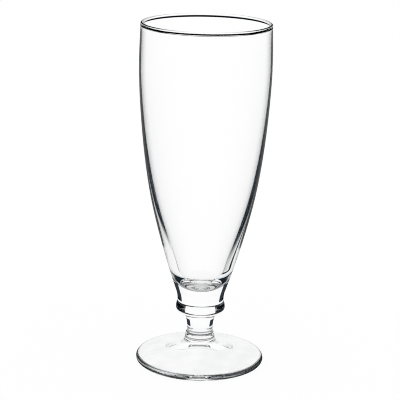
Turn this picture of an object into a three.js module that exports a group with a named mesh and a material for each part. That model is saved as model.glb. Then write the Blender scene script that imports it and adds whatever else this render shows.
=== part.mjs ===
// Footed beer glass on a short knopped stem, in clear soda-lime glass. Sizes are in millimetres.
// The glass stands on its foot: the origin is the centre of the resting plane, and +Z runs up the axis.
// Foot, stem, knop, boss and bowl are separate gathers of glass, welded hot on flat discs.

import * as THREE from "three";

// Heights of the five pieces, stacked upwards from the table
const footHeight = 16.6;
const stemHeight = 12.7;
const knopHeight = 8.2;
const bossHeight = 4.5;
const bowlHeight = 156;

// Radii of the weld discs, shared by the two pieces that meet there
const footStemWeldRadius = 8.35;
const stemKnopWeldRadius = 10.2;
const knopBossWeldRadius = 13.35;
const bossBowlWeldRadius = 14.05;

// Foot: a pressed disc with a rounded edge, a low cone on top, a flare up to the stem and a bell hollow below
// that leaves a narrow ring to stand on
const footRadius = 37;
const footEdgeThickness = 3.8;
const restingRingWidth = 1.4;
const hollowDepth = 9.2;
const hollowCrownRun = 8.5;
const hollowSkirtRun = 29.9;
const hollowSkirtSlope = 0.086;
const flareRootRadius = 20;
const flareRootHeight = 6.2;
const flareNeckRun = 5.1;
const flareConeRun = 9;

// Stem: a waisted column whose lower end spreads in a skirt and stands on the flare with a ridge
const stemWaistRadius = 7.42;
const stemWaistHeight = 3.6;
const stemSkirtRun = 1.2;
const stemSkirtSlope = 1;
const stemNeckRun = 1.4;
const stemWaistRun = 4;
const stemCollarRun = 1.2;

// Knop: a ring that is round below and runs up in a soft hollow to the boss
const knopRadius = 14.15;
const knopCrownHeight = 3.4;
const knopUnderRound = 3.25;

// Boss: the solid root of the bowl, whose side takes the same slope as the bowl at their weld
const rootSlope = 0.342;
const bossRun = 1.28;

// Bowl outside: rim bead, widest belly and a station half way down the body
const rimRadius = 36.75;
const rimBeadThickness = 2.1;
const rimBeadProud = 0.05;
const rimNeckDrop = 1.4;
const rimNeckRun = 0.84;
const rimSlope = 0.035;
const bellyRadius = 37.25;
const bellyHeight = 132;
const bodyRadius = 29.7;
const bodyHeight = 56;
const bodySlope = 0.2;
const rimRun = 7;
const bellyRun = 12.5;
const bodyUpperRun = 28.4;
const bodyLowerRun = 9.8;
const rootRun = 25.9;

// Bowl inside: wall thickness at each station, then the heel and the floor of the hollow
const rimWall = 0.8;
const bellyWall = 1;
const bodyWall = 2.85;
const bodyWallTaper = 0.047;
const innerBodyRun = 16;
const heelRadius = 14.3;
const heelHeight = 16;
const heelSlope = 0.33;
const heelRun = 10;
const floorThickness = 2.8;
const floorCornerRun = 8;
const floorFlatRadius = 7;

// Fineness of the faceted solids
const facetsRound = 48;
const facetsPerCurve = 6;

// Levels of the weld planes
const stemBase = footHeight;
const knopBase = stemBase + stemHeight;
const bossBase = knopBase + knopHeight;
const bowlBase = bossBase + bossHeight;
const rimTop = bowlBase + bowlHeight;

// Half outlines: x is the radius and y the height. Each starts and ends on the axis.

function footOutline() {
  const edgeRound = footEdgeThickness / 2;
  const edgeCentre = footRadius - edgeRound;
  const hollowRadius = edgeCentre - restingRingWidth;
  const coneSlope = (flareRootHeight - footEdgeThickness) / (edgeCentre - flareRootRadius);
  const outline = new THREE.Path();
  outline.moveTo(0, hollowDepth);
  outline.bezierCurveTo(
    hollowCrownRun,
    hollowDepth,
    hollowRadius - hollowSkirtRun,
    hollowSkirtRun * hollowSkirtSlope,
    hollowRadius,
    0,
  );
  outline.lineTo(edgeCentre, 0);
  outline.absarc(edgeCentre, edgeRound, edgeRound, -Math.PI / 2, Math.PI / 2, false);
  outline.lineTo(flareRootRadius, flareRootHeight);
  outline.bezierCurveTo(
    flareRootRadius - flareConeRun,
    flareRootHeight + flareConeRun * coneSlope,
    footStemWeldRadius,
    footHeight - flareNeckRun,
    footStemWeldRadius,
    footHeight,
  );
  outline.lineTo(0, footHeight);
  return outline;
}

function stemOutline() {
  const waist = stemBase + stemWaistHeight;
  const collarRadius = (stemWaistRadius + stemKnopWeldRadius) / 2;
  const outline = new THREE.Path();
  outline.moveTo(0, stemBase);
  outline.lineTo(footStemWeldRadius, stemBase);
  outline.bezierCurveTo(
    footStemWeldRadius - stemSkirtRun * stemSkirtSlope,
    stemBase + stemSkirtRun,
    stemWaistRadius,
    waist - stemNeckRun,
    stemWaistRadius,
    waist,
  );
  outline.bezierCurveTo(
    stemWaistRadius,
    waist + stemWaistRun,
    collarRadius,
    knopBase - stemCollarRun,
    stemKnopWeldRadius,
    knopBase,
  );
  outline.lineTo(0, knopBase);
  return outline;
}

function knopOutline() {
  const crown = knopBase + knopCrownHeight;
  const hollowRun = (bossBase - crown) / 2;
  const outline = new THREE.Path();
  outline.moveTo(0, knopBase);
  outline.lineTo(knopRadius - knopUnderRound, knopBase);
  outline.absellipse(
    knopRadius - knopUnderRound,
    crown,
    knopUnderRound,
    knopCrownHeight,
    -Math.PI / 2,
    0,
    false,
  );
  outline.bezierCurveTo(
    knopRadius,
    crown + hollowRun,
    knopBossWeldRadius,
    bossBase - hollowRun,
    knopBossWeldRadius,
    bossBase,
  );
  outline.lineTo(0, bossBase);
  return outline;
}

function bossOutline() {
  const outline = new THREE.Path();
  outline.moveTo(0, bossBase);
  outline.lineTo(knopBossWeldRadius, bossBase);
  outline.bezierCurveTo(
    knopBossWeldRadius,
    bossBase + bossRun,
    bossBowlWeldRadius - bossRun * rootSlope,
    bowlBase - bossRun,
    bossBowlWeldRadius,
    bowlBase,
  );
  outline.lineTo(0, bowlBase);
  return outline;
}

function bowlOutline() {
  const body = bowlBase + bodyHeight;
  const belly = bowlBase + bellyHeight;
  const beadRound = rimBeadThickness / 2;
  const beadCentre = rimTop - beadRound;
  const neck = beadCentre - rimNeckDrop;
  const neckRadius = rimRadius - rimBeadProud;
  const floor = bowlBase + floorThickness;
  const heel = bowlBase + heelHeight;
  const innerBodySlope = bodySlope + bodyWallTaper;
  const outline = new THREE.Path();
  outline.moveTo(0, bowlBase);
  outline.lineTo(bossBowlWeldRadius, bowlBase);
  outline.bezierCurveTo(
    bossBowlWeldRadius + rootRun * rootSlope,
    bowlBase + rootRun,
    bodyRadius - bodyLowerRun * bodySlope,
    body - bodyLowerRun,
    bodyRadius,
    body,
  );
  outline.bezierCurveTo(
    bodyRadius + bodyUpperRun * bodySlope,
    body + bodyUpperRun,
    bellyRadius,
    belly - bellyRun,
    bellyRadius,
    belly,
  );
  outline.bezierCurveTo(
    bellyRadius,
    belly + rimRun,
    neckRadius + rimRun * rimSlope,
    neck - rimRun,
    neckRadius,
    neck,
  );
  outline.bezierCurveTo(
    neckRadius,
    neck + rimNeckRun,
    rimRadius,
    beadCentre - rimNeckRun,
    rimRadius,
    beadCentre,
  );
  outline.absarc(rimRadius - beadRound, beadCentre, beadRound, 0, Math.PI, false);
  outline.bezierCurveTo(
    rimRadius - rimBeadThickness,
    beadCentre - rimNeckRun,
    neckRadius - rimWall,
    neck + rimNeckRun,
    neckRadius - rimWall,
    neck,
  );
  outline.bezierCurveTo(
    neckRadius - rimWall + rimRun * rimSlope,
    neck - rimRun,
    bellyRadius - bellyWall,
    belly + rimRun,
    bellyRadius - bellyWall,
    belly,
  );
  outline.bezierCurveTo(
    bellyRadius - bellyWall,
    belly - bellyRun,
    bodyRadius - bodyWall + bodyUpperRun * innerBodySlope,
    body + bodyUpperRun,
    bodyRadius - bodyWall,
    body,
  );
  outline.bezierCurveTo(
    bodyRadius - bodyWall - innerBodyRun * innerBodySlope,
    body - innerBodyRun,
    heelRadius + heelRun * heelSlope,
    heel + heelRun,
    heelRadius,
    heel,
  );
  outline.bezierCurveTo(
    heelRadius - floorCornerRun * heelSlope,
    heel - floorCornerRun,
    floorFlatRadius,
    floor,
    0,
    floor,
  );
  return outline;
}

// A piece of glass: the outline turned round the axis, stood up along +Z
function glassPiece(name, outline) {
  const geometry = new THREE.LatheGeometry(outline.getPoints(facetsPerCurve), facetsRound);
  geometry.rotateX(Math.PI / 2);
  const clearGlass = new THREE.MeshStandardMaterial({
    color: 0xf2f6f7,
    roughness: 0.03,
    metalness: 0,
    transparent: true,
    opacity: 0.35,
  });
  const piece = new THREE.Mesh(geometry, clearGlass);
  piece.name = name;
  return piece;
}

const beerGlass = new THREE.Group();
beerGlass.name = "footed_beer_glass";
beerGlass.add(glassPiece("foot", footOutline()));
beerGlass.add(glassPiece("stem", stemOutline()));
beerGlass.add(glassPiece("knop", knopOutline()));
beerGlass.add(glassPiece("base_boss", bossOutline()));
beerGlass.add(glassPiece("bowl", bowlOutline()));

export default beerGlass;
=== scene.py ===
import math

import bpy
import numpy as np
from mathutils import Matrix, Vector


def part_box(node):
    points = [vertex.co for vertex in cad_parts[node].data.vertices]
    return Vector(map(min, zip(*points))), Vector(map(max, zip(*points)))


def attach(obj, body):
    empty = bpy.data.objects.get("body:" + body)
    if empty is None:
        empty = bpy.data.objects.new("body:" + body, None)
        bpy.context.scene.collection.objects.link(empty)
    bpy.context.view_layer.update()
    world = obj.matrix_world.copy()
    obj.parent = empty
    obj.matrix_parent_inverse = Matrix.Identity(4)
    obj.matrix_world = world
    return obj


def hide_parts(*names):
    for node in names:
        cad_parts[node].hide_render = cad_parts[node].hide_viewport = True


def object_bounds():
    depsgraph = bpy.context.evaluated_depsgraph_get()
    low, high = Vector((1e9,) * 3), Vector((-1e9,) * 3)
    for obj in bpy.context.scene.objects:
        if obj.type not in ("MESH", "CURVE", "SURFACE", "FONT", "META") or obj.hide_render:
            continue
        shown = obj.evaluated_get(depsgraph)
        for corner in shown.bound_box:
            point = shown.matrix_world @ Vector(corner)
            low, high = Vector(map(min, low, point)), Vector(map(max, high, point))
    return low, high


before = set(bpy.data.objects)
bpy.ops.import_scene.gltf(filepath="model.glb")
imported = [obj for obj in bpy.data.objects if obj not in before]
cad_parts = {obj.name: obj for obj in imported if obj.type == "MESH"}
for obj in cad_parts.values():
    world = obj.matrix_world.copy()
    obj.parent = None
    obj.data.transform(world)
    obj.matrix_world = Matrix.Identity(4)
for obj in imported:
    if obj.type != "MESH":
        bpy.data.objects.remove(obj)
cad_low, cad_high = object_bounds()


# Camera. A long lens looks down on the glass from a little under a metre away, tipped by about a degree,
# so that the rim shows as a thin ellipse and the foot as a rounder one. The lens is given in millimetres.
camera_distance = 0.8451
camera_height = 0.3251
camera_pitch = math.radians(15.157)
camera_yaw = math.radians(0.107)
camera_roll = math.radians(1.28)
film_width = 36.0
focal_length = 138.2
nearest_seen = 0.01
camera_data = bpy.data.cameras.new("studio_camera")
camera_data.sensor_width = film_width
camera_data.lens = focal_length
camera_data.clip_start = nearest_seen
camera = bpy.data.objects.new("studio_camera", camera_data)
camera.matrix_world = (
    Matrix.Translation((0.0, -camera_distance, camera_height))
    @ Matrix.Rotation(camera_yaw, 4, "Z")
    @ Matrix.Rotation(math.pi / 2 - camera_pitch, 4, "X")
    @ Matrix.Rotation(camera_roll, 4, "Z")
)
bpy.context.scene.collection.objects.link(camera)
bpy.context.scene.camera = camera
bpy.context.scene.view_settings.view_transform = "Standard"


# Studio. A white room lights the glass evenly from all sides. Dark flags stand at both sides of the set, and only
# light that the glass mirrors inside itself meets them, which draws its walls as dark lines. Near the horizon the
# flags reach further in, so that the walls keep their lines when they are seen from low down.
def linear(hex_colour):
    """Linear RGBA of an sRGB hex colour: each channel is divided by 255 and raised by the sRGB curve."""
    channels = np.array([int(hex_colour[i : i + 2], 16) for i in (1, 3, 5)]) / 255
    curved = np.where(channels <= 0.04045, channels / 12.92, ((channels + 0.055) / 1.055) ** 2.4)
    return (*curved.tolist(), 1.0)


def emptied_tree(owner):
    """Gives a world or a material a node tree of its own, with nothing in it."""
    owner.use_nodes = True
    owner.node_tree.nodes.clear()
    return owner.node_tree


def add_node(tree, kind, inputs=None, **settings):
    """Adds a node, sets its properties, then fills its inputs: a socket is linked and a value is set."""
    made = tree.nodes.new(kind)
    for name, value in settings.items():
        setattr(made, name, value)
    for name, value in (inputs or {}).items():
        if isinstance(value, bpy.types.NodeSocket):
            tree.links.new(value, made.inputs[name])
        else:
            made.inputs[name].default_value = value
    return made


def mirrored_dark(tree, on_flag, near_side):
    """Share of darkness for the light that reaches a surface through the glass. Light mirrored inside the glass is
    dark by the share on_flag. Light mirrored three times or more is at least half dark by the share near_side. Other
    light stays white."""
    once = 0.5
    thrice = 2.5
    often_dark = 0.5
    path = add_node(tree, "ShaderNodeLightPath")
    entries = path.outputs["Transmission Depth"]
    mirrorings = path.outputs["Glossy Depth"]
    entered = add_node(tree, "ShaderNodeMath", {0: entries, 1: once}, operation="GREATER_THAN")
    mirrored = add_node(tree, "ShaderNodeMath", {0: mirrorings, 1: once}, operation="GREATER_THAN")
    often = add_node(tree, "ShaderNodeMath", {0: mirrorings, 1: thrice}, operation="GREATER_THAN")
    dulled = add_node(tree, "ShaderNodeMath", {0: often.outputs[0], 1: often_dark}, operation="MULTIPLY")
    lost = add_node(tree, "ShaderNodeMath", {0: dulled.outputs[0], 1: near_side}, operation="MULTIPLY")
    flagged = add_node(tree, "ShaderNodeMath", {0: mirrored.outputs[0], 1: on_flag}, operation="MULTIPLY")
    dark = add_node(tree, "ShaderNodeMath", {0: flagged.outputs[0], 1: lost.outputs[0]}, operation="MAXIMUM")
    through_glass = add_node(
        tree, "ShaderNodeMath", {0: dark.outputs[0], 1: entered.outputs[0]}, operation="MULTIPLY"
    )
    return through_glass.outputs[0]


studio_white = "#ffffff"
flag_slate = "#1d272f"
level_only = (1.0, 1.0, 0.0)
# The flags fade out between these heights over the horizon and begin between these bearings off the camera's axis
flag_top_low = math.sin(math.radians(45))
flag_top_high = math.sin(math.radians(62))
flag_edge_near = math.sin(math.radians(32))
flag_edge_far = math.sin(math.radians(45))
# Their reach inwards near the horizon
flag_reach = 0.5
flag_reach_low = 0.06
flag_reach_high = 0.08
# Light that was mirrored often isn't dulled where it leaves for the bright far wall
far_wall_start = 0.6
far_wall_full = 0.85
studio = bpy.data.worlds.new("white_studio")
room = emptied_tree(studio)
direction = add_node(room, "ShaderNodeTexCoord")
height = add_node(room, "ShaderNodeSeparateXYZ", {0: direction.outputs["Generated"]})
below_flag_top = add_node(
    room,
    "ShaderNodeMapRange",
    {0: height.outputs["Z"], 1: flag_top_low, 2: flag_top_high, 3: 1.0, 4: 0.0},
    interpolation_type="SMOOTHSTEP",
)
levelled = add_node(
    room, "ShaderNodeVectorMath", {0: direction.outputs["Generated"], 1: level_only}, operation="MULTIPLY"
)
bearing = add_node(room, "ShaderNodeVectorMath", {0: levelled.outputs[0]}, operation="NORMALIZE")
sideways = add_node(room, "ShaderNodeSeparateXYZ", {0: bearing.outputs[0]})
off_axis = add_node(room, "ShaderNodeMath", {0: sideways.outputs["X"]}, operation="ABSOLUTE")
reach = add_node(
    room,
    "ShaderNodeMapRange",
    {0: height.outputs["Z"], 1: flag_reach_low, 2: flag_reach_high, 3: flag_reach, 4: 0.0},
)
off_axis_low = add_node(room, "ShaderNodeMath", {0: off_axis.outputs[0], 1: reach.outputs[0]}, operation="ADD")
past_flag_edge = add_node(
    room,
    "ShaderNodeMapRange",
    {0: off_axis_low.outputs[0], 1: flag_edge_near, 2: flag_edge_far, 3: 0.0, 4: 1.0},
    interpolation_type="SMOOTHSTEP",
)
on_side_flag = add_node(
    room, "ShaderNodeMath", {0: past_flag_edge.outputs[0], 1: below_flag_top.outputs[0]}, operation="MULTIPLY"
)
before_far_wall = add_node(
    room,
    "ShaderNodeMapRange",
    {0: sideways.outputs["Y"], 1: far_wall_start, 2: far_wall_full, 3: 1.0, 4: 0.0},
)
room_dark = mirrored_dark(room, on_side_flag.outputs[0], before_far_wall.outputs[0])
room_colour = add_node(
    room, "ShaderNodeMix", {0: room_dark, 6: linear(studio_white), 7: linear(flag_slate)}, data_type="RGBA"
)
room_light = add_node(room, "ShaderNodeBackground", {"Color": room_colour.outputs[2], "Strength": 1.0})
add_node(room, "ShaderNodeOutputWorld", {"Surface": room_light.outputs[0]})
bpy.context.scene.world = studio


# Table. A matt white sheet of card that runs on under the side flags: between them it is bright, and beyond their
# feet it has painted shade for the mirrored light. A narrow dark strip is painted along it at the right of the glass,
# seen only in mirrored light, as a painted reflection line on the bowl's right wall.
table_radius = 3.0
table_rings = 48
table_sides = 96
table_drop = 0.0001
table_card = "#fdfdfd"
table_glow = 0.94
bright_strip_middle = -0.006
flag_foot_near = 0.074
flag_foot_far = 0.098
# Painted reflection: a dark strip on the card, seen only in light mirrored by the glass, that paints a fine line
painted_reflection_strip = 0.0645
painted_reflection_strip_near = 0.004
painted_reflection_strip_far = 0.009
far_card_start = 0.02
far_card_full = 0.03


def disc_mesh(name, radius, rings, sides, level_z):
    """A flat disc at height level_z: points at radius r(i) = radius * (i / rings)^2 and evenly spaced angles,
    fanned at the middle."""
    steps = (np.arange(1, rings + 1) / rings) ** 2 * radius
    angles = np.arange(sides) / sides * 2 * math.pi
    ring_points = np.stack(
        [np.outer(steps, np.cos(angles)), np.outer(steps, np.sin(angles)), np.full((rings, sides), level_z)], axis=-1
    )
    points = np.concatenate([[[0.0, 0.0, level_z]], ring_points.reshape(-1, 3)])
    index = 1 + np.arange(rings * sides).reshape(rings, sides)
    following = np.roll(index, -1, axis=1)
    fan = np.stack([np.zeros(sides, int), index[0], following[0]], axis=-1)
    bands = np.stack([index[:-1], index[1:], following[1:], following[:-1]], axis=-1).reshape(-1, 4)
    mesh = bpy.data.meshes.new(name)
    mesh.from_pydata(points, [], fan.tolist() + bands.tolist())
    return mesh


# Matt white card: to the eye an even white with no gloss, as bright as the room behind it. Light mirrored in the
# glass meets painted shade on it beyond the flags' feet and along the painted strip
card = bpy.data.materials.new("matt_white_card")
sheet = emptied_tree(card)
place = add_node(sheet, "ShaderNodeTexCoord")
across = add_node(sheet, "ShaderNodeSeparateXYZ", {0: place.outputs["Object"]})
from_middle = add_node(
    sheet, "ShaderNodeMath", {0: across.outputs["X"], 1: bright_strip_middle}, operation="SUBTRACT"
)
to_side = add_node(sheet, "ShaderNodeMath", {0: from_middle.outputs[0]}, operation="ABSOLUTE")
under_flags = add_node(
    sheet,
    "ShaderNodeMapRange",
    {0: to_side.outputs[0], 1: flag_foot_near, 2: flag_foot_far, 3: 0.0, 4: 1.0},
    interpolation_type="SMOOTHSTEP",
)
from_painted_strip = add_node(sheet, "ShaderNodeMath", {0: across.outputs["X"], 1: painted_reflection_strip}, operation="SUBTRACT")
beside_painted_strip = add_node(sheet, "ShaderNodeMath", {0: from_painted_strip.outputs[0]}, operation="ABSOLUTE")
on_painted_strip = add_node(
    sheet,
    "ShaderNodeMapRange",
    {0: beside_painted_strip.outputs[0], 1: painted_reflection_strip_near, 2: painted_reflection_strip_far, 3: 1.0, 4: 0.0},
    interpolation_type="SMOOTHSTEP",
)
painted_shade_on_card = add_node(
    sheet, "ShaderNodeMath", {0: under_flags.outputs[0], 1: on_painted_strip.outputs[0]}, operation="MAXIMUM"
)
card_matt = add_node(sheet, "ShaderNodeBsdfDiffuse", {"Color": linear(table_card)})
card_glow = add_node(sheet, "ShaderNodeEmission", {"Color": linear(studio_white), "Strength": 1.0})
card_path = add_node(sheet, "ShaderNodeLightPath")
seen_in_glass = add_node(
    sheet,
    "ShaderNodeMath",
    {0: card_path.outputs["Is Glossy Ray"], 1: card_path.outputs["Is Transmission Ray"]},
    operation="MAXIMUM",
)
seen = add_node(
    sheet,
    "ShaderNodeMath",
    {0: card_path.outputs["Is Camera Ray"], 1: seen_in_glass.outputs[0]},
    operation="MAXIMUM",
)
glow_share = add_node(sheet, "ShaderNodeMath", {0: seen.outputs[0], 1: table_glow}, operation="MULTIPLY")
card_lit = add_node(
    sheet, "ShaderNodeMixShader", {0: glow_share.outputs[0], 1: card_matt.outputs[0], 2: card_glow.outputs[0]}
)
# Painted shade: a slate glow that light mirrored in the glass meets beyond the flags' feet and on the painted strip
card_shaded = add_node(sheet, "ShaderNodeEmission", {"Color": linear(flag_slate), "Strength": 1.0})
on_near_card = add_node(
    sheet,
    "ShaderNodeMapRange",
    {0: across.outputs["Y"], 1: far_card_start, 2: far_card_full, 3: 1.0, 4: 0.0},
)
card_shade = mirrored_dark(sheet, painted_shade_on_card.outputs[0], on_near_card.outputs[0])
card_seen = add_node(
    sheet, "ShaderNodeMixShader", {0: card_shade, 1: card_lit.outputs[0], 2: card_shaded.outputs[0]}
)
add_node(sheet, "ShaderNodeOutputMaterial", {"Surface": card_seen.outputs[0]})
table_mesh = disc_mesh("table_card", table_radius, table_rings, table_sides, -table_drop)
table = bpy.data.objects.new("table_card", table_mesh)
table.data.materials.append(card)
bpy.context.scene.collection.objects.link(table)


# High flag. A dark cloth shade hangs round the set just above the rim. Only light that the rim bead bends upwards
# meets it, which draws the rim as two fine dark lines.
flag_black = "#080b0e"
shade_sides = 96
shade_radius = 0.17
shade_bottom = 0.212
shade_top = 0.3


def turned_points(outline, sides):
    """Points of a surface of revolution: each outline point of radius r and height z goes round as
    (r cos a, r sin a, z) at even angles a. The result has one row for each outline point."""
    angles = np.arange(sides) / sides * 2 * math.pi
    return np.stack(
        [
            np.outer(outline[:, 0], np.cos(angles)),
            np.outer(outline[:, 0], np.sin(angles)),
            np.repeat(outline[:, 1:], sides, axis=1),
        ],
        axis=-1,
    )


def shade_mesh(name, outline, sides):
    """An open surface of revolution: the rings of the outline's points, joined by bands of four-cornered faces."""
    points = turned_points(outline, sides)
    index = np.arange(len(outline) * sides).reshape(-1, sides)
    following = np.roll(index, -1, axis=1)
    bands = np.stack([index[:-1], index[1:], following[1:], following[:-1]], axis=-1).reshape(-1, 4)
    mesh = bpy.data.meshes.new(name)
    mesh.from_pydata(points.reshape(-1, 3), [], bands.tolist())
    return mesh


# Dark flag cloth: near black with no gloss, and a gap for light that the glass has mirrored
mirrored_once = 0.5
cloth = bpy.data.materials.new("dark_flag_cloth")
weave = emptied_tree(cloth)
cloth_path = add_node(weave, "ShaderNodeLightPath")
cloth_mirrored = add_node(
    weave, "ShaderNodeMath", {0: cloth_path.outputs["Glossy Depth"], 1: mirrored_once}, operation="GREATER_THAN"
)
cloth_dark = add_node(weave, "ShaderNodeEmission", {"Color": linear(flag_black), "Strength": 1.0})
cloth_gap = add_node(weave, "ShaderNodeBsdfTransparent", {"Color": linear(studio_white)})
cloth_seen = add_node(
    weave,
    "ShaderNodeMixShader",
    {0: cloth_mirrored.outputs[0], 1: cloth_dark.outputs[0], 2: cloth_gap.outputs[0]},
)
add_node(weave, "ShaderNodeOutputMaterial", {"Surface": cloth_seen.outputs[0]})
shade_outline = np.array([(shade_radius, shade_bottom), (shade_radius, shade_top)])
high_flag = bpy.data.objects.new("high_flag", shade_mesh("high_flag", shade_outline, shade_sides))
high_flag.data.materials.append(cloth)
high_flag.visible_camera = False
high_flag.visible_diffuse = False
high_flag.visible_glossy = False
high_flag.visible_shadow = False
high_flag.visible_volume_scatter = False
bpy.context.scene.collection.objects.link(high_flag)


# Foot. A gather of clear soda-lime glass pressed into a round disc, with a rounded edge, a flare up to the stem
# and a bell-shaped hollow below. The mould leaves a faint waviness that the fire polish softens.
MM = 0.001
sides_round = 256
weld_steps = 4
crease = math.radians(20)
even_blend = 0.5
clear_white = "#ffffff"
cloud_grey = "#c6cdd1"
_, foot_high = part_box("foot")
foot_radius = foot_high.x
foot_height = foot_high.z
foot_weld_radius = 8.35 * MM
edge_thickness = 3.8 * MM
resting_ring_width = 1.4 * MM
hollow_depth = 9.2 * MM
hollow_crown_run = 8.5 * MM
hollow_skirt_run = 29.9 * MM
hollow_skirt_slope = 0.086
flare_root_radius = 20 * MM
flare_root_height = 6.2 * MM
flare_neck_run = 5.1 * MM
flare_cone_run = 9 * MM
hollow_steps = 56
ring_steps = 4
edge_steps = 32
cone_steps = 16
flare_steps = 40


def bend(start, leave, arrive, end, steps):
    """Cubic curve in the plane of radius and height: four points blended with the Bernstein weights
    (1-t)^3, 3(1-t)^2 t, 3(1-t) t^2 and t^3, for t from 0 to 1 in even steps."""
    t = np.linspace(0, 1, steps + 1)[:, None]
    first, second, third, last = (np.array(point) for point in (start, leave, arrive, end))
    return (1 - t) ** 3 * first + 3 * (1 - t) ** 2 * t * second + 3 * (1 - t) * t**2 * third + t**3 * last


def straight(start, end, steps):
    """Straight run in the plane of radius and height, from start to end in even steps."""
    t = np.linspace(0, 1, steps + 1)[:, None]
    return np.array(start) * (1 - t) + np.array(end) * t


def round_edge(centre, half_width, half_height, start, end, steps):
    """Elliptical arc in the plane of radius and height, from angle start to angle end in even steps."""
    angle = np.linspace(start, end, steps + 1)
    return np.array(centre) + np.stack([half_width * np.cos(angle), half_height * np.sin(angle)], axis=-1)


def turned_piece(name, materials, runs):
    """A surface of revolution. The runs join into one outline r(s), z(s) that starts and ends on the axis, and each
    outline point goes round as (r cos a, r sin a, z) at even angles a. Both ends close in a fan on the axis.
    Each run comes with the one of the materials that its bands take."""
    curves = [curve for curve, glass in runs]
    outline = np.concatenate([curves[0]] + [curve[1:] for curve in curves[1:]])
    band_material = np.concatenate([np.full(len(curve) - 1, materials.index(glass)) for curve, glass in runs])
    rings = outline[1:-1]
    poles = [[0.0, 0.0, outline[0, 1]], [0.0, 0.0, outline[-1, 1]]]
    points = np.concatenate([poles, turned_points(rings, sides_round).reshape(-1, 3)])
    index = 2 + np.arange(rings.shape[0] * sides_round).reshape(-1, sides_round)
    following = np.roll(index, -1, axis=1)
    first_fan = np.stack([np.zeros(sides_round, int), following[0], index[0]], axis=-1)
    last_fan = np.stack([np.ones(sides_round, int), index[-1], following[-1]], axis=-1)
    bands = np.stack([index[:-1], following[:-1], following[1:], index[1:]], axis=-1).reshape(-1, 4)
    mesh = bpy.data.meshes.new(name)
    mesh.from_pydata(points, [], first_fan.tolist() + bands.tolist() + last_fan.tolist())
    mesh.polygons.foreach_set("material_index", np.repeat(band_material, sides_round).astype(np.int32))
    mesh.polygons.foreach_set("use_smooth", np.ones(len(mesh.polygons), bool))
    mesh.set_sharp_from_angle(angle=crease)
    for material in materials:
        mesh.materials.append(material)
    piece = bpy.data.objects.new(name, mesh)
    bpy.context.scene.collection.objects.link(piece)
    return piece


def shade_bands(tree, spot, level, skin_side, shade):
    """Share of slate painted into the glass's colour in bands: painted reflections of the dark sides of the
    studio, the product of four shares. The first rises to the depth between the facing shares from and to, on the
    level part of the normal. The second is 1 between the levels low and high, with their blur, and both levels fall
    towards the sides. The third is what is kept where light enters the glass and where it leaves. The fourth is what
    level streak noise leaves."""
    # Level streak noise that breaks up the painted bands
    streak_length = 30 * MM
    streak_height = 1.4 * MM
    streak_start = 7.5
    streak_low = 0.5
    streak_high = 0.6
    outwards = add_node(
        tree, "ShaderNodeVectorMath", {0: skin_side.outputs["Normal"], 1: level_only}, operation="MULTIPLY"
    )
    level_normal = add_node(tree, "ShaderNodeVectorMath", {0: outwards.outputs[0]}, operation="NORMALIZE")
    turned = add_node(tree, "ShaderNodeLayerWeight", {"Blend": even_blend, "Normal": level_normal.outputs[0]})
    painted_facing_share = add_node(
        tree,
        "ShaderNodeMapRange",
        {0: turned.outputs["Facing"], 1: shade["from"], 2: shade["to"], 3: 0.0, 4: shade["depth"]},
        interpolation_type="SMOOTHSTEP",
    )
    fallen = add_node(
        tree,
        "ShaderNodeMath",
        {0: turned.outputs["Facing"], 1: shade["fall"], 2: level},
        operation="MULTIPLY_ADD",
    )
    low, high, blur = shade["low"], shade["high"], shade["blur"]
    over_low = add_node(
        tree, "ShaderNodeMapRange", {0: fallen.outputs[0], 1: low - blur, 2: low + blur, 3: 0.0, 4: 1.0}
    )
    under_high = add_node(
        tree, "ShaderNodeMapRange", {0: fallen.outputs[0], 1: high - blur, 2: high + blur, 3: 1.0, 4: 0.0}
    )
    in_band = add_node(
        tree, "ShaderNodeMath", {0: over_low.outputs[0], 1: under_high.outputs[0]}, operation="MULTIPLY"
    )
    kept = add_node(
        tree,
        "ShaderNodeMapRange",
        {0: skin_side.outputs["Backfacing"], 1: 0.0, 2: 1.0, 3: shade["entering"], 4: shade["leaving"]},
    )
    stretched = add_node(
        tree,
        "ShaderNodeMapping",
        {
            "Vector": spot,
            "Location": (0.0, 0.0, streak_start),
            "Scale": (1 / streak_length, 1 / streak_length, 1 / streak_height),
        },
    )
    shade_streaks = add_node(
        tree, "ShaderNodeTexNoise", {"Vector": stretched.outputs[0], "Scale": 1.0, "Detail": 0.0}
    )
    unbroken = add_node(
        tree,
        "ShaderNodeMapRange",
        {0: shade_streaks.outputs[0], 1: streak_low, 2: streak_high, 3: 1.0, 4: 1 - shade["shade_streaks"]},
    )
    painted_band_share = painted_facing_share.outputs[0]
    for share in (in_band, kept, unbroken):
        painted_band_share = add_node(tree, "ShaderNodeMath", {0: painted_band_share, 1: share.outputs[0]}, operation="MULTIPLY").outputs[0]
    return painted_band_share


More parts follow.
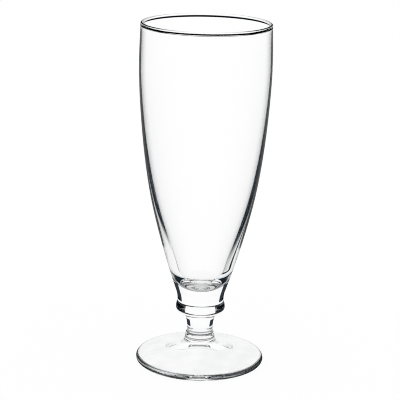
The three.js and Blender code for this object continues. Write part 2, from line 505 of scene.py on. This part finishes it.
def clear_glass(name, shade, ripple_width, ripple_depth, mottle, painted_edge_shade, skin_mirror=(0.0, 0.3)):
    """Clear soda-lime glass. It bends light by 1.52, and its mirroring follows Fresnel's law with the faint mirroring
    left out: whole inside, and between the two shares of skin_mirror outside, where the dark sides of the studio
    dim it. The skin is fire-polished with a slow ripple, and the body is mottled by a share of pale grey. Its colour
    has painted shade: slate painted in with the bands of shade, painted reflections of the dark sides of the studio,
    and painted edge shade that grows with the square of the facing share up to painted_edge_shade, which is given for
    the level of the table and for that of the rim. Light mirrored outside carries the painted bands as painted
    reflections. Light mirrored inside carries the painted bands and the squared facing share together, by the share
    mirrored in shade."""
    refraction = 1.52
    faint_mirroring = 0.13
    ripple_detail = 1.0
    ripple_roughness = 0.4
    polish_low = 0.3
    polish_high = 0.7
    dullest_polish = 0.01
    cloud_low = 0.4
    cloud_high = 0.7
    glass = bpy.data.materials.new(name)
    tree = emptied_tree(glass)
    spot = add_node(tree, "ShaderNodeTexCoord").outputs["Object"]
    level = add_node(tree, "ShaderNodeSeparateXYZ", {0: spot}).outputs["Z"]
    skin_side = add_node(tree, "ShaderNodeNewGeometry")
    from_inside = skin_side.outputs["Backfacing"]
    ripple = add_node(
        tree,
        "ShaderNodeTexNoise",
        {"Vector": spot, "Scale": 1 / ripple_width, "Detail": ripple_detail, "Roughness": ripple_roughness},
    )
    skin = add_node(
        tree, "ShaderNodeBump", {"Height": ripple.outputs[0], "Strength": 1.0, "Distance": ripple_depth}
    )
    polish = add_node(
        tree,
        "ShaderNodeMapRange",
        {0: ripple.outputs[0], 1: polish_low, 2: polish_high, 3: 0.0, 4: dullest_polish},
    )
    glancing = add_node(tree, "ShaderNodeLayerWeight", {"Blend": even_blend, "Normal": skin.outputs[0]})
    squared = add_node(
        tree,
        "ShaderNodeMath",
        {0: glancing.outputs["Facing"], 1: glancing.outputs["Facing"]},
        operation="MULTIPLY",
    )
    # Painted edge shade: slate painted in with the squared facing share, to a depth that changes from table to rim
    painted_edge_shade_limit = add_node(
        tree,
        "ShaderNodeMapRange",
        {0: level, 1: cad_low[2], 2: cad_high[2], 3: painted_edge_shade[0], 4: painted_edge_shade[1]},
    )
    painted_edge_shade_share = add_node(
        tree, "ShaderNodeMath", {0: squared.outputs[0], 1: painted_edge_shade_limit.outputs[0]}, operation="MULTIPLY"
    )
    # Painted reflections of the dark studio sides in bands; the painted shade is the larger of these and the edge
    # shade
    painted_band_share = shade_bands(tree, spot, level, skin_side, shade)
    painted_shade_share = add_node(tree, "ShaderNodeMath", {0: painted_edge_shade_share.outputs[0], 1: painted_band_share}, operation="MAXIMUM")
    clouding = add_node(
        tree, "ShaderNodeMapRange", {0: ripple.outputs[0], 1: cloud_low, 2: cloud_high, 3: 0.0, 4: mottle}
    )
    clear_colour = add_node(
        tree,
        "ShaderNodeMix",
        {0: clouding.outputs[0], 6: linear(clear_white), 7: linear(cloud_grey)},
        data_type="RGBA",
    )
    colour_with_painted_shade = add_node(
        tree,
        "ShaderNodeMix",
        {0: painted_shade_share.outputs[0], 6: clear_colour.outputs[2], 7: linear(flag_slate)},
        data_type="RGBA",
    )
    bending = add_node(
        tree,
        "ShaderNodeBsdfRefraction",
        {"Color": colour_with_painted_shade.outputs[2], "Roughness": 0.0, "IOR": refraction, "Normal": skin.outputs[0]},
    )
    # The mirror's colour carries painted shade too: painted reflections of the dark studio sides
    painted_inside_shade = add_node(tree, "ShaderNodeMath", {0: painted_band_share, 1: squared.outputs[0]}, operation="ADD")
    painted_mirrored_shade = add_node(
        tree, "ShaderNodeMath", {0: painted_inside_shade.outputs[0], 1: shade["mirrored"]}, operation="MULTIPLY"
    )
    painted_mirror_shade = add_node(
        tree, "ShaderNodeMapRange", {0: from_inside, 1: 0.0, 2: 1.0, 3: painted_band_share, 4: painted_mirrored_shade.outputs[0]}
    )
    painted_mirror_colour = add_node(
        tree,
        "ShaderNodeMix",
        {0: painted_mirror_shade.outputs[0], 6: linear(clear_white), 7: linear(flag_slate)},
        data_type="RGBA",
    )
    mirroring = add_node(
        tree,
        "ShaderNodeBsdfAnisotropic",
        {"Color": painted_mirror_colour.outputs[2], "Roughness": polish.outputs[0], "Normal": skin.outputs[0]},
    )
    mirror_law = add_node(tree, "ShaderNodeFresnel", {"IOR": refraction, "Normal": skin.outputs[0]})
    least_mirrored = add_node(
        tree, "ShaderNodeMapRange", {0: from_inside, 1: 0.0, 2: 1.0, 3: skin_mirror[0], 4: 0.0}
    )
    most_mirrored = add_node(
        tree, "ShaderNodeMapRange", {0: from_inside, 1: 0.0, 2: 1.0, 3: skin_mirror[1], 4: 1.0}
    )
    mirror_share = add_node(
        tree,
        "ShaderNodeMapRange",
        {
            0: mirror_law.outputs[0],
            1: faint_mirroring,
            2: 1.0,
            3: least_mirrored.outputs[0],
            4: most_mirrored.outputs[0],
        },
    )
    surface = add_node(
        tree, "ShaderNodeMixShader", {0: mirror_share.outputs[0], 1: bending.outputs[0], 2: mirroring.outputs[0]}
    )
    add_node(tree, "ShaderNodeOutputMaterial", {"Surface": surface.outputs[0]})
    return glass


# Fused weld: the two gathers have run into one there, so the eye sees no skin between them
weld_glass = bpy.data.materials.new("fused_weld")
weld_tree = emptied_tree(weld_glass)
see_through = add_node(weld_tree, "ShaderNodeBsdfTransparent", {"Color": linear(clear_white)})
add_node(weld_tree, "ShaderNodeOutputMaterial", {"Surface": see_through.outputs[0]})

# Pressed soda-lime glass: clear to the eye, with a faint grey mottling. The rounded edge has painted shade: dark
# streaked bands towards its sides, painted reflections of the dark studio, and a thin grey ring of painted shade
# goes round the flare.
no_shade = {
    "depth": 0.0,
    "from": 0.9,
    "to": 1.0,
    "low": 0.0,
    "high": 0.0,
    "blur": 0.2 * MM,
    "fall": 0.0,
    "entering": 1.0,
    "leaving": 0.0,
    "mirrored": 0.0,
    "shade_streaks": 0.0,
}
all_round = {"from": -0.2, "to": -0.1}
edge_shade = {
    **no_shade,
    "depth": 0.9,
    "from": 0.066,
    "to": 0.1,
    "low": 0.55 * MM,
    "high": 3.6 * MM,
    "blur": 0.25 * MM,
    "shade_streaks": 0.85,
}
flare_shade = {
    **no_shade,
    **all_round,
    "depth": 0.65,
    "low": 14.5 * MM,
    "high": 15.05 * MM,
    "blur": 0.12 * MM,
}
pressed_skin_and_painted_edge = {"ripple_width": 9 * MM, "ripple_depth": 0.012 * MM, "mottle": 0.09, "painted_edge_shade": (0.05, 0.05)}
edge_skin_and_painted_shade = {**pressed_skin_and_painted_edge, "painted_edge_shade": (0.3, 0.3)}
foot_glass = clear_glass("pressed_soda_lime_foot", no_shade, **pressed_skin_and_painted_edge)
edge_glass = clear_glass("pressed_soda_lime_foot_edge", edge_shade, **edge_skin_and_painted_shade)
flare_glass = clear_glass("pressed_soda_lime_flare", flare_shade, **pressed_skin_and_painted_edge)

edge_round = edge_thickness / 2
edge_centre = foot_radius - edge_round
hollow_radius = edge_centre - resting_ring_width
cone_slope = (flare_root_height - edge_thickness) / (edge_centre - flare_root_radius)
hollow_bend = bend(
    (0.0, hollow_depth),
    (hollow_crown_run, hollow_depth),
    (hollow_radius - hollow_skirt_run, hollow_skirt_run * hollow_skirt_slope),
    (hollow_radius, 0.0),
    hollow_steps,
)
resting_ring = straight((hollow_radius, 0.0), (edge_centre, 0.0), ring_steps)
edge_bend = round_edge((edge_centre, edge_round), edge_round, edge_round, -math.pi / 2, math.pi / 2, edge_steps)
foot_cone = straight((edge_centre, edge_thickness), (flare_root_radius, flare_root_height), cone_steps)
flare_bend = bend(
    (flare_root_radius, flare_root_height),
    (flare_root_radius - flare_cone_run, flare_root_height + flare_cone_run * cone_slope),
    (foot_weld_radius, foot_height - flare_neck_run),
    (foot_weld_radius, foot_height),
    flare_steps,
)
foot_runs = [
    (hollow_bend, foot_glass),
    (resting_ring, foot_glass),
    (edge_bend, edge_glass),
    (foot_cone, foot_glass),
    (flare_bend, flare_glass),
    (straight((foot_weld_radius, foot_height), (0.0, foot_height), weld_steps), weld_glass),
]
foot = turned_piece("foot_glass", [foot_glass, weld_glass, edge_glass, flare_glass], foot_runs)
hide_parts("foot")
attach(foot, "root")


# Stem. A short waisted column of the same glass, drawn from a hot gather. Its lower end spreads in a skirt
# and stands on the flare with a ridge, and its upper end widens to carry the knop.
stem_low, stem_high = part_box("stem")
stem_base = stem_low.z
stem_top = stem_high.z
stem_top_radius = stem_high.x
stem_waist_radius = 7.42 * MM
stem_waist_height = 3.6 * MM
stem_skirt_run = 1.2 * MM
stem_skirt_slope = 1.0
stem_neck_run = 1.4 * MM
stem_waist_run = 4 * MM
stem_collar_run = 1.2 * MM
skirt_steps = 28
hem_steps = 10
waist_steps = 40

# Drawn soda-lime glass: smooth and clear to the eye, with a painted dark patch at each side of the waist, a painted
# reflection of the dark studio sides. One thin grey line of painted shade goes round the skirt and a darker one
# round its hem.
stem_shade = {**no_shade, "depth": 0.98, "from": 0.345, "to": 0.365, "low": 21.6 * MM, "high": 26.0 * MM}
skirt_shade = {
    **no_shade,
    **all_round,
    "depth": 0.6,
    "low": 18.3 * MM,
    "high": 19.1 * MM,
    "blur": 0.3 * MM,
    "shade_streaks": 0.2,
}
hem_shade = {**skirt_shade, "depth": 0.78, "low": 16.95 * MM, "high": 17.7 * MM, "blur": 0.15 * MM}
drawn_skin_and_painted_edge = {"ripple_width": 6 * MM, "ripple_depth": 0.006 * MM, "mottle": 0.05, "painted_edge_shade": (0.1, 0.1)}
stem_glass = clear_glass("drawn_soda_lime_stem", stem_shade, **drawn_skin_and_painted_edge)
skirt_glass = clear_glass("drawn_soda_lime_skirt", skirt_shade, **drawn_skin_and_painted_edge)
hem_glass = clear_glass("drawn_soda_lime_skirt_hem", hem_shade, **drawn_skin_and_painted_edge)

stem_waist = stem_base + stem_waist_height
skirt_bend = bend(
    (foot_weld_radius, stem_base),
    (foot_weld_radius - stem_skirt_run * stem_skirt_slope, stem_base + stem_skirt_run),
    (stem_waist_radius, stem_waist - stem_neck_run),
    (stem_waist_radius, stem_waist),
    skirt_steps,
)
waist_bend = bend(
    (stem_waist_radius, stem_waist),
    (stem_waist_radius, stem_waist + stem_waist_run),
    ((stem_waist_radius + stem_top_radius) / 2, stem_top - stem_collar_run),
    (stem_top_radius, stem_top),
    waist_steps,
)
stem_runs = [
    (straight((0.0, stem_base), (foot_weld_radius, stem_base), weld_steps), weld_glass),
    (skirt_bend[: hem_steps + 1], hem_glass),
    (skirt_bend[hem_steps:], skirt_glass),
    (waist_bend, stem_glass),
    (straight((stem_top_radius, stem_top), (0.0, stem_top), weld_steps), weld_glass),
]
stem = turned_piece("stem_glass", [stem_glass, weld_glass, skirt_glass, hem_glass], stem_runs)
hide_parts("stem")
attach(stem, "root")


# Knop. A ring of glass pressed round the top of the stem, full and round below, that runs up
# in a soft hollow into the boss.
knop_low, knop_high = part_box("knop")
knop_base = knop_low.z
knop_top = knop_high.z
knop_radius = knop_high.x
knop_top_radius = 13.35 * MM
knop_crown_height = 3.4 * MM
knop_under_round = 3.25 * MM
knop_flat_steps = 3
knop_round_steps = 32
knop_hollow_steps = 28

# Pressed soda-lime glass with a skin as smooth as the stem's: clear to the eye in front, with a painted dark patch
# at each side, a painted reflection of the dark studio sides
knop_shade = {
    **no_shade,
    "depth": 0.93,
    "from": 0.245,
    "to": 0.275,
    "low": 31.7 * MM,
    "high": 36.5 * MM,
    "shade_streaks": 0.25,
}
knop_glass = clear_glass("pressed_soda_lime_knop", knop_shade, **drawn_skin_and_painted_edge)

knop_crown = knop_base + knop_crown_height
knop_hollow_run = (knop_top - knop_crown) / 2
knop_flat_radius = knop_radius - knop_under_round
knop_middle = (knop_flat_radius, knop_crown)
knop_bend = bend(
    (knop_radius, knop_crown),
    (knop_radius, knop_crown + knop_hollow_run),
    (knop_top_radius, knop_top - knop_hollow_run),
    (knop_top_radius, knop_top),
    knop_hollow_steps,
)
knop_runs = [
    (straight((0.0, knop_base), (stem_top_radius, knop_base), weld_steps), weld_glass),
    (straight((stem_top_radius, knop_base), (knop_flat_radius, knop_base), knop_flat_steps), knop_glass),
    (round_edge(knop_middle, knop_under_round, knop_crown_height, -math.pi / 2, 0.0, knop_round_steps), knop_glass),
    (knop_bend, knop_glass),
    (straight((knop_top_radius, knop_top), (0.0, knop_top), weld_steps), weld_glass),
]
knop = turned_piece("knop_glass", [knop_glass, weld_glass], knop_runs)
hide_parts("knop")
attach(knop, "root")


# Base boss. The solid root of the bowl: a thick button of glass between the knop and the floor of the hollow,
# fused to both, whose side takes the slope of the bowl.
boss_low, boss_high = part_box("base_boss")
boss_base = boss_low.z
boss_top = boss_high.z
boss_top_radius = boss_high.x
root_slope = 0.342
boss_run = 1.28 * MM
boss_steps = 24
past_weld = 1 * MM

# Solid soda-lime glass: a clear, bright lump to the eye, with a painted dark band along each side, a painted
# reflection of the dark studio sides
boss_shade = {
    **no_shade,
    "depth": 0.98,
    "from": 0.43,
    "to": 0.46,
    "low": boss_base - past_weld,
    "high": boss_top + past_weld,
}
boss_skin_and_painted_edge = {**drawn_skin_and_painted_edge, "ripple_width": 8 * MM, "mottle": 0.02}
boss_glass = clear_glass("solid_soda_lime_boss", boss_shade, **boss_skin_and_painted_edge)

boss_bend = bend(
    (knop_top_radius, boss_base),
    (knop_top_radius, boss_base + boss_run),
    (boss_top_radius - boss_run * root_slope, boss_top - boss_run),
    (boss_top_radius, boss_top),
    boss_steps,
)
boss_runs = [
    (straight((0.0, boss_base), (knop_top_radius, boss_base), weld_steps), weld_glass),
    (boss_bend, boss_glass),
    (straight((boss_top_radius, boss_top), (0.0, boss_top), weld_steps), weld_glass),
]
boss = turned_piece("base_boss_glass", [boss_glass, weld_glass], boss_runs)
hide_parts("base_boss")
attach(boss, "root")


# Bowl. A blown, slender bowl with a thick heel, a wall that thins upwards and a rounded, fire-polished rim bead.
# Blowing leaves long, shallow ripples in the wall.
bowl_low, bowl_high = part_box("bowl")
bowl_base = bowl_low.z
rim_top = bowl_high.z
belly_radius = bowl_high.x
rim_radius = 36.75 * MM
rim_bead_thickness = 2.1 * MM
rim_bead_proud = 0.05 * MM
rim_neck_drop = 1.4 * MM
rim_neck_run = 0.84 * MM
rim_slope = 0.035
belly_height = 132 * MM
body_radius = 29.7 * MM
body_height = 56 * MM
body_slope = 0.2
rim_run = 7 * MM
belly_run = 12.5 * MM
body_upper_run = 28.4 * MM
body_lower_run = 9.8 * MM
root_run = 25.9 * MM
rim_wall = 0.8 * MM
belly_wall = 1 * MM
body_wall = 2.85 * MM
body_wall_taper = 0.047
inner_body_run = 16 * MM
heel_radius = 14.3 * MM
heel_height = 16 * MM
heel_slope = 0.33
heel_run = 10 * MM
floor_thickness = 2.8 * MM
floor_corner_run = 8 * MM
floor_flat_radius = 7 * MM
crown_start = 0.45
root_steps = 40
body_steps = 48
rim_steps = 16
neck_steps = 10
bead_side_steps = 4
bead_crown_steps = 10
heel_steps = 40
floor_steps = 40
corner_steps = 13

# Blown soda-lime glass: clear to the eye, and thin enough to show as two dark lines at its sides, which the dark
# flags draw and painted edge shade deepens. The root has the boss's painted dark bands, the floor has painted shade
# that makes it a grey lens, and fine painted lines of shade run down inside the heel.
root_shade = {**boss_shade, "low": bowl_base - past_weld, "high": 49 * MM}
floor_shade = {
    **no_shade,
    **all_round,
    "depth": 0.5,
    "low": bowl_base,
    "high": 51 * MM,
    "blur": 1.5 * MM,
    "entering": 0.1,
    "leaving": 1.0,
    "mirrored": 0.45,
    "shade_streaks": 0.3,
}
heel_shade = {
    **no_shade,
    "depth": 0.85,
    "from": 0.16,
    "to": 0.18,
    "low": 54 * MM,
    "high": 70 * MM,
    "blur": 4 * MM,
    "entering": 0.0,
    "leaving": 1.0,
}
blown_skin_and_painted_edge = {"ripple_width": 22 * MM, "ripple_depth": 0.01 * MM, "mottle": 0.0, "painted_edge_shade": (0.3, 0.04)}
bowl_glass = clear_glass("blown_soda_lime_bowl", no_shade, **blown_skin_and_painted_edge)
root_glass = clear_glass("blown_soda_lime_root", root_shade, **blown_skin_and_painted_edge)
floor_glass = clear_glass("blown_soda_lime_floor", floor_shade, **blown_skin_and_painted_edge)
heel_glass = clear_glass("blown_soda_lime_heel", heel_shade, **blown_skin_and_painted_edge)

# Fire-polished rim: a bright bead between two fine dark lines, black below and grey above, that darken towards
# its ends. The high flag draws them in part, and the rest is painted shade in these materials.
neck_shade = {
    **no_shade,
    **all_round,
    "depth": 1.0,
    "low": 196.4 * MM,
    "high": 197.24 * MM,
    "blur": 0.12 * MM,
    "fall": 0.5 * MM,
}
lip_shade = {**neck_shade, "low": 195.85 * MM, "high": 197.0 * MM, "fall": 0.0}
crown_shade = {**neck_shade, "from": 0.0, "to": 0.4, "low": 197.7 * MM, "high": 198.2 * MM, "fall": 0.15 * MM}
crown_mirror = (0.6, 0.6)
neck_glass = clear_glass("fire_polished_rim_neck", neck_shade, **blown_skin_and_painted_edge)
crown_glass = clear_glass("fire_polished_rim_crown", crown_shade, **blown_skin_and_painted_edge, skin_mirror=crown_mirror)
inside_glass = clear_glass("fire_polished_rim_inside", no_shade, **blown_skin_and_painted_edge, skin_mirror=crown_mirror)
lip_glass = clear_glass("fire_polished_rim_lip", lip_shade, **blown_skin_and_painted_edge)

body = bowl_base + body_height
belly = bowl_base + belly_height
bead_round = rim_bead_thickness / 2
bead_centre = rim_top - bead_round
bead_middle = (rim_radius - bead_round, bead_centre)
neck = bead_centre - rim_neck_drop
neck_radius = rim_radius - rim_bead_proud
bowl_floor = bowl_base + floor_thickness
heel = bowl_base + heel_height
inner_body_slope = body_slope + body_wall_taper
inner_body_radius = body_radius - body_wall
inner_belly_radius = belly_radius - belly_wall
inner_neck_radius = neck_radius - rim_wall
inner_bead_radius = rim_radius - rim_bead_thickness
root_bend = bend(
    (boss_top_radius, bowl_base),
    (boss_top_radius + root_run * root_slope, bowl_base + root_run),
    (body_radius - body_lower_run * body_slope, body - body_lower_run),
    (body_radius, body),
    root_steps,
)
body_bend = bend(
    (body_radius, body),
    (body_radius + body_upper_run * body_slope, body + body_upper_run),
    (belly_radius, belly - belly_run),
    (belly_radius, belly),
    body_steps,
)
rim_bend = bend(
    (belly_radius, belly),
    (belly_radius, belly + rim_run),
    (neck_radius + rim_run * rim_slope, neck - rim_run),
    (neck_radius, neck),
    rim_steps,
)
neck_bend = bend(
    (neck_radius, neck),
    (neck_radius, neck + rim_neck_run),
    (rim_radius, bead_centre - rim_neck_run),
    (rim_radius, bead_centre),
    neck_steps,
)
bead_stops = [0.0, crown_start, math.pi / 2, math.pi - crown_start, math.pi]
bead_steps = [bead_side_steps, bead_crown_steps, bead_crown_steps, bead_side_steps]
bead_outside, bead_crown, bead_inside, bead_lip = (
    round_edge(bead_middle, bead_round, bead_round, start, end, steps)
    for start, end, steps in zip(bead_stops[:-1], bead_stops[1:], bead_steps)
)
inner_neck_bend = bend(
    (inner_bead_radius, bead_centre),
    (inner_bead_radius, bead_centre - rim_neck_run),
    (inner_neck_radius, neck + rim_neck_run),
    (inner_neck_radius, neck),
    neck_steps,
)
inner_rim_bend = bend(
    (inner_neck_radius, neck),
    (inner_neck_radius + rim_run * rim_slope, neck - rim_run),
    (inner_belly_radius, belly + rim_run),
    (inner_belly_radius, belly),
    rim_steps,
)
inner_body_bend = bend(
    (inner_belly_radius, belly),
    (inner_belly_radius, belly - belly_run),
    (inner_body_radius + body_upper_run * inner_body_slope, body + body_upper_run),
    (inner_body_radius, body),
    body_steps,
)
heel_bend = bend(
    (inner_body_radius, body),
    (inner_body_radius - inner_body_run * inner_body_slope, body - inner_body_run),
    (heel_radius + heel_run * heel_slope, heel + heel_run),
    (heel_radius, heel),
    heel_steps,
)
floor_bend = bend(
    (heel_radius, heel),
    (heel_radius - floor_corner_run * heel_slope, heel - floor_corner_run),
    (floor_flat_radius, bowl_floor),
    (0.0, bowl_floor),
    floor_steps,
)
bowl_runs = [
    (straight((0.0, bowl_base), (boss_top_radius, bowl_base), weld_steps), weld_glass),
    (root_bend, root_glass),
    (body_bend, bowl_glass),
    (rim_bend, bowl_glass),
    (neck_bend, neck_glass),
    (bead_outside, neck_glass),
    (bead_crown, crown_glass),
    (bead_inside, inside_glass),
    (bead_lip, lip_glass),
    (inner_neck_bend, lip_glass),
    (inner_rim_bend, bowl_glass),
    (inner_body_bend, bowl_glass),
    (heel_bend, heel_glass),
    (floor_bend[: corner_steps + 1], heel_glass),
    (floor_bend[corner_steps:], floor_glass),
]
bowl_materials = [
    bowl_glass,
    weld_glass,
    root_glass,
    floor_glass,
    neck_glass,
    crown_glass,
    inside_glass,
    lip_glass,
    heel_glass,
]
bowl = turned_piece("bowl_glass", bowl_materials, bowl_runs)
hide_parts("bowl")
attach(bowl, "root")

# Light gets enough bounces to find its way through both walls and the solid stem, and a narrow pixel filter
# keeps the fine lines crisp
cycles = bpy.context.scene.cycles
cycles.max_bounces = 32
cycles.transmission_bounces = 32
cycles.glossy_bounces = 24
cycles.transparent_max_bounces = 32
cycles.filter_width = 1.0
